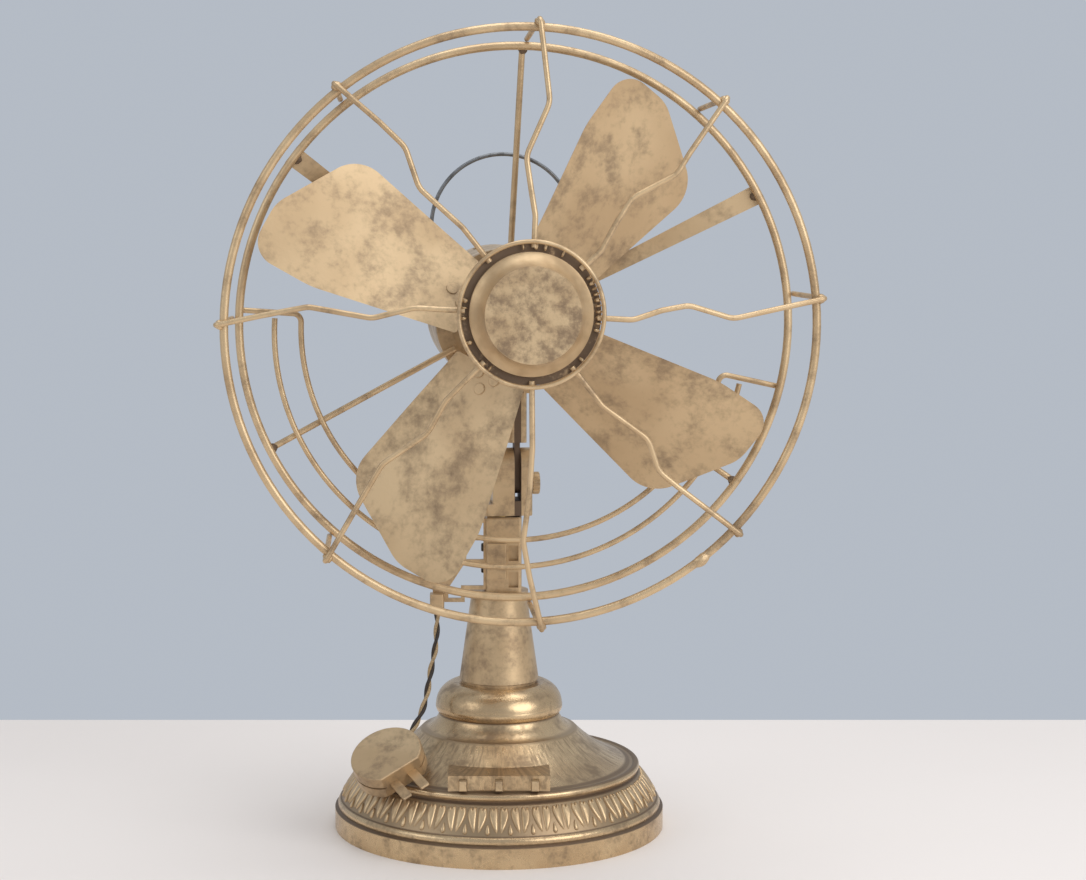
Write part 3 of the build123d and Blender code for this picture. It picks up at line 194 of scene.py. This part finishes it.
def makeCamera():
    data = bpy.data.cameras.new("camera")
    data.lens = camera["lens"]
    data.sensor_width = camera["sensor"]
    data.shift_x = camera["shift"]
    data.clip_start = camera["near"]
    data.clip_end = camera["far"]
    view = bpy.data.objects.new("camera", data)
    scene.collection.objects.link(view)
    view.location = camera["place"]
    view.rotation_euler = (radians(90.0 + camera["pitch"]), 0.0, 0.0)
    scene.camera = view


def makeLights():
    for name, place, target, size, watts in lights:
        data = bpy.data.lights.new(name, "AREA")
        data.shape = "DISK"
        data.size = size
        data.energy = watts
        lamp = bpy.data.objects.new(name, data)
        scene.collection.objects.link(lamp)
        lamp.location = place
        aim = Vector(target) - Vector(place)
        lamp.rotation_euler = aim.to_track_quat("-Z", "Y").to_euler()


def makeWorld():             # the wall is seen and mirrored, the fill lights the rest
    world = bpy.data.worlds.new("studio")
    scene.world = world
    world.use_nodes = True
    tree = world.node_tree
    tree.nodes.clear()
    out = tree.nodes.new("ShaderNodeOutputWorld")
    fill = tree.nodes.new("ShaderNodeBackground")
    fill.inputs["Color"].default_value = surroundings["fill"]
    fill.inputs["Strength"].default_value = surroundings["fillStrength"]
    seen = tree.nodes.new("ShaderNodeBackground")
    seen.inputs["Color"].default_value = surroundings["wall"]
    ray = tree.nodes.new("ShaderNodeLightPath")
    glossy = maths(tree, "MAXIMUM", ray.outputs["Is Camera Ray"], ray.outputs["Is Glossy Ray"])
    direct = maths(tree, "MAXIMUM", glossy, ray.outputs["Is Transmission Ray"])
    mix = tree.nodes.new("ShaderNodeMixShader")
    tree.links.new(direct, mix.inputs[0])
    tree.links.new(fill.outputs[0], mix.inputs[1])
    tree.links.new(seen.outputs[0], mix.inputs[2])
    tree.links.new(mix.outputs[0], out.inputs[0])


def makeTable():
    bm = bmesh.new()
    bmesh.ops.create_grid(bm, x_segments=1, y_segments=1, size=1.0)
    bmesh.ops.scale(bm, vec=tableTop["half"], verts=bm.verts)
    bmesh.ops.translate(bm, vec=(0.0, tableTop["back"] - tableTop["half"][1], 0.0), verts=bm.verts)
    table = meshObject("table", bm, smooth=False)
    mat, tree, shader, place = newFinish("tableTop", 0.0, tableTop["rough"])
    cloud = noiseOf(tree, place, *tableTop["cloud"])
    darker = tuple(tableTop["darker"] * c for c in tableTop["pale"])
    tree.links.new(mixColour(tree, cloud, tableTop["pale"], darker), shader.inputs["Base Color"])
    table.data.materials.append(mat)


scene.view_settings.view_transform = "Standard"
makeCamera()
makeLights()
makeWorld()
makeTable()
print("camera, lights and table made")


# antique gold

gold = {
    "pale": (0.66, 0.485, 0.285),
    "warm": (0.54, 0.38, 0.215),
    "brown": (0.155, 0.105, 0.07),
    "broadDetail": 2.0,
    "broadStep": (0.35, 0.65),       # where pale turns to warm
    "patchDetail": (6.0, 0.65),
    "speckDetail": (3.0, 0.6),
    "speckShare": 0.3,
    "dullest": 0.25,         # how much rougher the patina is
    "bump": (0.25, 0.0004),  # strength and distance
}

goldKinds = {                # patch: size of the patina's patches, low and high: where it starts and is full
    "bladeGold": {
        "metal": 0.5, "rough": 0.44, "broad": 14.0, "patch": 50.0, "speck": 300.0,
        "low": 0.56, "high": 0.94, "most": 0.68},
    "wireGold": {
        "metal": 0.6, "rough": 0.38, "broad": 30.0, "patch": 60.0, "speck": 500.0,
        "low": 0.60, "high": 0.95, "most": 0.7},
    "capGold": {
        "metal": 0.6, "rough": 0.38, "broad": 60.0, "patch": 120.0, "speck": 520.0,
        "low": 0.50, "high": 0.84, "most": 0.72},
    "bodyGold": {
        "metal": 0.65, "rough": 0.36, "broad": 20.0, "patch": 60.0, "speck": 320.0,
        "low": 0.55, "high": 0.9, "most": 0.65},
    "darkGold": {
        "metal": 0.6, "rough": 0.45, "broad": 40.0, "patch": 90.0, "speck": 400.0,
        "low": 0.34, "high": 0.6, "most": 0.95},
    "leafGold": {
        "metal": 0.75, "rough": 0.3, "broad": 25.0, "patch": 80.0, "speck": 420.0,
        "low": 0.6, "high": 0.95, "most": 0.5},
    "footGold": {
        "metal": 0.8, "rough": 0.27, "broad": 25.0, "patch": 60.0, "speck": 350.0,
        "low": 0.62, "high": 0.86, "most": 0.6},
}
goldKinds["slotGold"] = goldKinds["bodyGold"]


def goldFinish(name, change=None):       # change: what a piece's own dirt and painted shade do to the patina
    s = goldKinds[name]
    mat, tree, shader, place = newFinish(name, s["metal"], s["rough"])
    broad = noiseOf(tree, place, s["broad"], gold["broadDetail"])
    cloud = noiseOf(tree, place, s["patch"], *gold["patchDetail"])
    speck = noiseOf(tree, place, s["speck"], *gold["speckDetail"])
    dirt = maths(tree, "MULTIPLY_ADD", speck, gold["speckShare"], cloud)
    brownShare = maths(tree, "MULTIPLY", stepOf(tree, dirt, s["low"], s["high"]), s["most"])
    base = mixColour(tree, stepOf(tree, broad, *gold["broadStep"]), gold["pale"], gold["warm"])
    if change:
        brownShare = change(tree, place, brownShare)
    tree.links.new(mixColour(tree, brownShare, base, gold["brown"]), shader.inputs["Base Color"])
    tree.links.new(maths(tree, "MULTIPLY_ADD", brownShare, gold["dullest"], s["rough"]), shader.inputs["Roughness"])
    bumpOn(tree, shader, maths(tree, "SUBTRACT", speck, brownShare), *gold["bump"])
    return mat


footDirtAndShade = {
    "creases": (             # painted shade in the creases: height, half width, how dark
        (0.0136, 0.0010, 0.95), (0.0191, 0.0006, 0.8), (0.0367, 0.0017, 0.95), (0.0424, 0.0008, 0.8),
        (0.0640, 0.0012, 0.45), (0.0741, 0.0010, 0.7)),
    "creaseFade": (0.3, 1.4),        # from full to none, in half widths
    "band": (0.0196, 0.0352),        # the relief band's ground, darker than its leaves
    "bandFade": 0.0005,
    "bandDark": 0.55,
    "cone": (0.043, 0.063),          # streaked, with the streaks running upwards
    "coneFade": (0.002, 0.001),
    "streak": (9.0, 40.0),           # how often round and up
    "streakNoise": (3.0, 5.0, 0.6),
    "streakStep": (0.42, 0.66),
    "streakDark": 0.55,
}


# the foot's patina, its streaks and darker band ground, plus painted shade in its creases
def footPatinaAndShade(tree, place, brownShare):
    s = footDirtAndShade
    x, y, z = splitPlace(tree, place)
    full, none = s["creaseFade"]
    # painted shade: each crease is darkened round its height, standing in for the shade that falls in it
    for height, half, dark in s["creases"]:
        away = maths(tree, "ABSOLUTE", maths(tree, "SUBTRACT", z, height))
        brownShare = maths(tree, "MAXIMUM", brownShare, stepOf(tree, away, full * half, none * half, dark, 0.0))
    inBand = within(tree, z, *s["band"], (s["bandFade"], 0.0), s["bandFade"])
    brownShare = maths(tree, "MAXIMUM", brownShare, maths(tree, "MULTIPLY", inBand, s["bandDark"]))
    around = tree.nodes.new("ShaderNodeCombineXYZ")
    tree.links.new(maths(tree, "MULTIPLY", maths(tree, "ARCTAN2", y, x), s["streak"][0]), around.inputs[0])
    tree.links.new(maths(tree, "MULTIPLY", z, s["streak"][1]), around.inputs[1])
    streak = noiseOf(tree, around.outputs[0], *s["streakNoise"])
    onCone = within(tree, z, *s["cone"], (0.0, s["coneFade"][0]), s["coneFade"][1])
    smear = maths(tree, "MULTIPLY", stepOf(tree, streak, *s["streakStep"]), onCone)
    return maths(tree, "MAXIMUM", brownShare, maths(tree, "MULTIPLY", smear, s["streakDark"]))


slotShade = {"middle": 0.0111, "half": 0.0021, "fade": 0.0003}     # the yoke's slot, painted dark inside as the shade that falls into it


def slotPatinaAndShade(tree, place, brownShare):
    s = slotShade
    x, y, z = splitPlace(tree, place)
    # painted shade: full brown across the slot's width, over the patina
    away = maths(tree, "ABSOLUTE", maths(tree, "SUBTRACT", headRight(tree, x, y), s["middle"]))
    return maths(tree, "MAXIMUM", brownShare, stepOf(tree, away, s["half"], s["half"] + s["fade"], 1.0, 0.0))


capFace = {                  # only the cap's flat face is mottled
    "right": 0.0045,
    "up": 0.340,
    "radius": 0.0278,
    "fade": (0.0005, 0.001),
    "left": 0.12,            # share of the patina outside the face
}


def capPatina(tree, place, brownShare):
    s = capFace
    x, y, z = splitPlace(tree, place)
    across = maths(tree, "POWER", maths(tree, "SUBTRACT", headRight(tree, x, y), s["right"]), 2.0)
    upwards = maths(tree, "POWER", maths(tree, "SUBTRACT", z, s["up"]), 2.0)
    away = maths(tree, "SQRT", maths(tree, "ADD", across, upwards))
    low, high = s["radius"] - s["fade"][0], s["radius"] + s["fade"][1]
    return maths(tree, "MULTIPLY", brownShare, stepOf(tree, away, low, high, 1.0, s["left"]))


# the other finishes

plain = {                    # metal, rough, colour, darker colour, noise scale, bump
    "darkSteel": (0.8, 0.42, (0.10, 0.095, 0.09), (0.045, 0.04, 0.035), 160.0, 0.1),
    "bailSteel": (0.7, 0.45, (0.24, 0.25, 0.26), (0.13, 0.13, 0.13), 120.0, 0.12),
    "steel": (0.95, 0.32, (0.56, 0.56, 0.57), (0.38, 0.37, 0.36), 90.0, 0.05),
    "brass": (0.95, 0.34, (0.66, 0.48, 0.22), (0.45, 0.31, 0.14), 110.0, 0.06),
    "copper": (0.85, 0.38, (0.62, 0.29, 0.15), (0.36, 0.15, 0.08), 300.0, 0.25),
    "felt": (0.0, 0.95, (0.055, 0.085, 0.055), (0.03, 0.045, 0.03), 1400.0, 0.6),
    "darkPlastic": (0.0, 0.4, (0.06, 0.038, 0.025), (0.035, 0.022, 0.015), 45.0, 0.05),
}

plainNoise = {
    "cloudDetail": (4.0, 0.6),
    "colourStep": (0.38, 0.66),
    "roughStep": (0.3, 0.7),
    "roughSpread": (-0.06, 0.08),
    "grain": 6.0,            # the bump's scale, in clouds
    "grainDetail": 2.0,
    "bumpDistance": 0.0003,
}


def plainFinish(name):
    s = plainNoise
    metal, rough, light, dark, scale, bump = plain[name]
    mat, tree, shader, place = newFinish(name, metal, rough)
    cloud = noiseOf(tree, place, scale, *s["cloudDetail"])
    tree.links.new(mixColour(tree, stepOf(tree, cloud, *s["colourStep"]), light, dark), shader.inputs["Base Color"])
    ends = [rough + spread for spread in s["roughSpread"]]
    tree.links.new(stepOf(tree, cloud, *s["roughStep"], *ends), shader.inputs["Roughness"])
    bumpOn(tree, shader, noiseOf(tree, place, s["grain"] * scale, s["grainDetail"]), bump, s["bumpDistance"])
    return mat


ownDirtAndShade = {"footGold": footPatinaAndShade, "slotGold": slotPatinaAndShade, "capGold": capPatina}
finishes = {name: goldFinish(name, ownDirtAndShade.get(name)) for name in goldKinds}
finishes.update({name: plainFinish(name) for name in plain})

dressed = {
    "footGold": ("foot_shell",),
    "bladeGold": ("blade_1", "blade_2", "blade_3", "blade_4", "flat_straps", "blade_rivets"),
    "wireGold": (
        "front_ring", "rear_ring", "middle_half_ring", "inner_half_ring", "round_bars",
        "front_wires_upper", "front_wires_lower", "boss_ring"),
    "capGold": ("boss_cap",),
    "bodyGold": (
        "column", "neck_block", "side_bracket", "cord_clip", "plug_body", "plug_pins",
        "speed_key_1", "speed_key_2", "speed_key_3", "thumb_screw", "motor_shell_front",
        "motor_shell_rear", "guard_mount_ring", "blade_spider"),
    "darkGold": ("boss_plate",),
    "slotGold": ("yoke", "neck_bar"),
    "darkSteel": ("bottom_plate", "bracket_screws", "tilt_nut", "guard_screws", "boss_nut"),
    "bailSteel": ("carry_handle",),
    "steel": (
        "bottom_screws", "switch_screws", "tie_tube", "tie_washer", "tie_nut", "swivel_pin", "saddle_screws",
        "motor_bolts", "stator_core", "shaft", "rotor_core", "hub_screw"),
    "brass": ("contact_strips", "swivel_washer", "shaft_bushes", "thrust_washers"),
    "copper": ("field_coils", "rotor_end_rings"),
    "felt": ("felt_pad",),
    "darkPlastic": ("switch_block",),
}


def dressNodes():
    for finish, names in dressed.items():
        for name in names:
            for slot in nodes[name].material_slots:
                slot.material = finishes[finish]
    bare = set(nodes) - {name for names in dressed.values() for name in names} - {"cord"}
    print("nodes without a finish:", sorted(bare))


dressNodes()
print("finishes made:", len(finishes))


# the cord, two strands twisted together

cord = {
    "route": (               # the clip at the bracket's end, down to the plug
        (-0.0396, -0.0140, 0.1418), (-0.0396, -0.0140, 0.1240), (-0.0438, -0.0175, 0.1040),
        (-0.0468, -0.0235, 0.0850), (-0.0532, -0.0310, 0.0710), (-0.0588, -0.0385, 0.0648)),
    "diameter": 0.0042,
    "length": 0.0867,
    "order": 3,              # of the route's smooth curve
    "steps": 24,
    "pitch": 0.025,          # one full twist
    "strand": 0.00112,       # a strand's radius
    "sides": 3,
    "pale": (0.50, 0.36, 0.20),
    "dark": (0.045, 0.032, 0.024),
}

thread = {
    "metal": 0.1,
    "rough": 0.6,
    "noise": (1500.0, 2.0),  # scale and detail
    "step": (0.35, 0.65),
    "darker": 0.55,
    "bump": (0.5, 0.0003),
}


def routePoints():
    curve, spline = lineCurve("route", "NURBS", cord["route"])
    spline.order_u = cord["order"]
    spline.use_endpoint_u = True
    spline.resolution_u = cord["steps"]
    return [v.co.copy() for v in curveMesh("route", curve).vertices]


def strandMesh(points, phase):
    across = Vector((1.0, 0.0, 0.0))
    gone = 0.0
    centres = []
    for i, here in enumerate(points):
        before = points[max(i - 1, 0)]
        after = points[min(i + 1, len(points) - 1)]
        along = (after - before).normalized()
        gone += (here - before).length
        across = (across - along * across.dot(along)).normalized()
        turn = 2.0 * pi * gone / cord["pitch"] + phase
        side = across * cos(turn) + along.cross(across) * sin(turn)
        centres.append(here + side * (0.5 * cord["diameter"] - cord["strand"]))
    curve = lineCurve("strand", "POLY", centres)[0]
    curve.bevel_depth = cord["strand"]
    curve.bevel_resolution = cord["sides"]
    curve.use_fill_caps = True
    return curveMesh("strand", curve)


def strandFinish(name, colour):
    mat, tree, shader, place = newFinish(name, thread["metal"], thread["rough"])
    fibre = noiseOf(tree, place, *thread["noise"])
    darker = tuple(thread["darker"] * c for c in colour)
    tree.links.new(mixColour(tree, stepOf(tree, fibre, *thread["step"]), colour, darker), shader.inputs["Base Color"])
    bumpOn(tree, shader, fibre, *thread["bump"])
    return mat


def makeCord():
    points = routePoints()
    bm = bmesh.new()
    for index, phase in enumerate((0.0, pi)):
        start = len(bm.faces)
        bm.from_mesh(strandMesh(points, phase))
        bm.faces.ensure_lookup_table()
        for face in bm.faces[start:]:
            face.material_index = index
    twisted = meshObject("twistedCord", bm)
    twisted.data.materials.append(strandFinish("strandGold", cord["pale"]))
    twisted.data.materials.append(strandFinish("strandDark", cord["dark"]))
    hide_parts("cord")
    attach(twisted, "foot")


makeCord()
print("cord made")


def finishedPiece(name, bm, finish):
    made = meshObject(name, bm)
    made.data.materials.append(finishes[finish])
    return made


# the foot's relief band: rows of two-lobed leaves, tips down, with a small dart between them

leafBand = {
    "count": 45,
    "low": (0.1022, 0.0190),     # radius and height of the band's lower and upper edges
    "high": (0.0910, 0.0355),
    "bulge": 0.0008,
    "rise": 0.0012,          # how far the leaves stand out
    "steps": ((1.0, -0.3), (0.94, 0.62), (0.62, 1.0)),      # width and rise, as shares
    "lobe": (                # right lobe: across as a share of the repeat, up as a share of the band
        (0.025, 0.05), (0.14, 0.12), (0.27, 0.28), (0.38, 0.47), (0.45, 0.66), (0.46, 0.82), (0.41, 0.94),
        (0.29, 0.965), (0.25, 0.78), (0.21, 0.965), (0.09, 0.965), (0.025, 0.88)),
    "dart": ((0.50, 0.46), (0.435, 0.28), (0.37, 0.09), (0.50, 0.03), (0.63, 0.09), (0.565, 0.28)),
    "start": 270.0,          # direction of the first leaf, degrees
}


def onBand(turn, up, out):
    b = leafBand
    run = b["low"][0] - b["high"][0]
    rise = b["high"][1] - b["low"][1]
    span = (run * run + rise * rise) ** 0.5
    lift = out + 4.0 * b["bulge"] * up * (1.0 - up)
    radius = b["low"][0] - run * up + rise / span * lift
    return radius * cos(turn), radius * sin(turn), b["low"][1] + rise * up + run / span * lift


def raiseShape(bm, outline, middle, step):
    centre = (sum(a for a, u in outline) / len(outline), sum(u for a, u in outline) / len(outline))
    loops = []
    for share, out in leafBand["steps"]:
        loop = []
        for across, up in outline:
            a = centre[0] + (across - centre[0]) * share
            u = centre[1] + (up - centre[1]) * share
            loop.append(bm.verts.new(onBand(middle + a * step, u, out * leafBand["rise"])))
        loops.append(loop)
    for lower, upper in zip(loops, loops[1:]):
        for i in range(len(outline)):
            j = (i + 1) % len(outline)
            bm.faces.new((lower[i], lower[j], upper[j], upper[i]))
    bm.faces.new(loops[-1])


def makeLeaves():
    bm = bmesh.new()
    step = 2.0 * pi / leafBand["count"]
    left = [(-a, u) for a, u in reversed(leafBand["lobe"])]
    for i in range(leafBand["count"]):
        middle = radians(leafBand["start"]) + i * step
        for outline in (leafBand["lobe"], left, leafBand["dart"]):
            raiseShape(bm, outline, middle, step)
    leaves = finishedPiece("leafBand", bm, "leafGold")
    soft = leaves.modifiers.new("soft", "SUBSURF")
    soft.levels = 1
    soft.render_levels = 1
    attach(leaves, "foot")


makeLeaves()
print("relief band made")


# solder: knots where wires meet the rings, and small tacks in the gap round the boss

rings = {                    # middle, radius and place of each ring in the head's frame: right, up, forward
    "front": (0.0015, 0.0002, 0.1730, 0.135),
    "rear": (0.0035, -0.0016, 0.1671, 0.075),
}

solder = {                   # angles in degrees, then forward and out of the ring, then a blob's half sizes
    "hooks": ((86.7, 48.1, 5.4, -43.2, -86.1, -130.5, 178.9, 127.4), 0.0012, 0.0026, (0.0027, 0.0029, 0.0031)),
    "weld": ((-52.0,), 0.0004, 0.0004, (0.0034, 0.0060, 0.0034)),
    "bars": ((87.5, 207.5, 324.5, 142.5, 27.0), -0.0022, -0.0012, (0.0036, 0.0030, 0.0026)),
    "spread": 3.0,           # keeps one blob's lumps unlike the next one's
}

blob = {"fineness": 3, "lumps": 0.22, "lumpScale": 1.4}

bossBits = {
    "middle": (0.0045, 0.0090),      # right and up
    "radius": 0.0393,
    "forward": 0.1474,
    "angles": (
        62.0, 78.0, 86.0, 97.0, 32.0, 27.0, 22.0, 17.0, 12.0, 7.0, 2.0, -3.0, -8.0, -14.0, 168.0, 174.0, 183.0,
        204.0, 232.0, 318.0),
    "across": 0.0019,
    "along": 0.0007,
    "growth": 0.0003,        # every third one is longest
    "deep": 0.0013,
    "spread": 5.0,
}


def reach(angle, ring):      # from the head's middle out to the ring's wire
    right, up, radius = ring[:3]
    along = right * cos(angle) + up * sin(angle)
    return along + (radius ** 2 - right ** 2 - up ** 2 + along ** 2) ** 0.5


def addBlob(bm, place, size, turn, seed):
    home = headPlace @ Matrix.Translation(place) @ Matrix.Rotation(turn, 4, "Z")
    made = bmesh.ops.create_icosphere(bm, subdivisions=blob["fineness"], radius=1.0)
    for vert in made["verts"]:
        bump = 1.0 + blob["lumps"] * noise.noise(vert.co * blob["lumpScale"] + Vector((seed, 0.0, 0.0)))
        local = Vector((vert.co.x * size[0], vert.co.y * size[1], vert.co.z * size[2])) * bump
        vert.co = home @ local


def ringKnots(bm, ring, kind):
    angles, forward, out, size = solder[kind]
    for i, degree in enumerate(angles):
        angle = radians(degree)
        far = reach(angle, rings[ring]) + out
        place = (far * cos(angle), far * sin(angle), rings[ring][3] + forward)
        addBlob(bm, place, size, angle, solder["spread"] * i + degree)


def makeSolder():
    bm = bmesh.new()
    ringKnots(bm, "front", "hooks")
    ringKnots(bm, "front", "weld")
    knots = finishedPiece("solderKnots", bm, "wireGold")
    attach(knots, "head")
    bm = bmesh.new()
    ringKnots(bm, "rear", "bars")
    tacks = finishedPiece("solderTacks", bm, "darkGold")
    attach(tacks, "head")


def makeBossTacks():
    b = bossBits
    bm = bmesh.new()
    for i, degree in enumerate(b["angles"]):
        angle = radians(degree)
        place = (b["middle"][0] + b["radius"] * cos(angle), b["middle"][1] + b["radius"] * sin(angle), b["forward"])
        addBlob(bm, place, (b["across"], b["along"] + b["growth"] * (i % 3), b["deep"]), angle, b["spread"] * i)
    bits = finishedPiece("bossTacks", bm, "leafGold")
    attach(bits, "head")


makeSolder()
makeBossTacks()
print("solder made")


def writeSizes():
    print("scene dressed")


writeSizes()
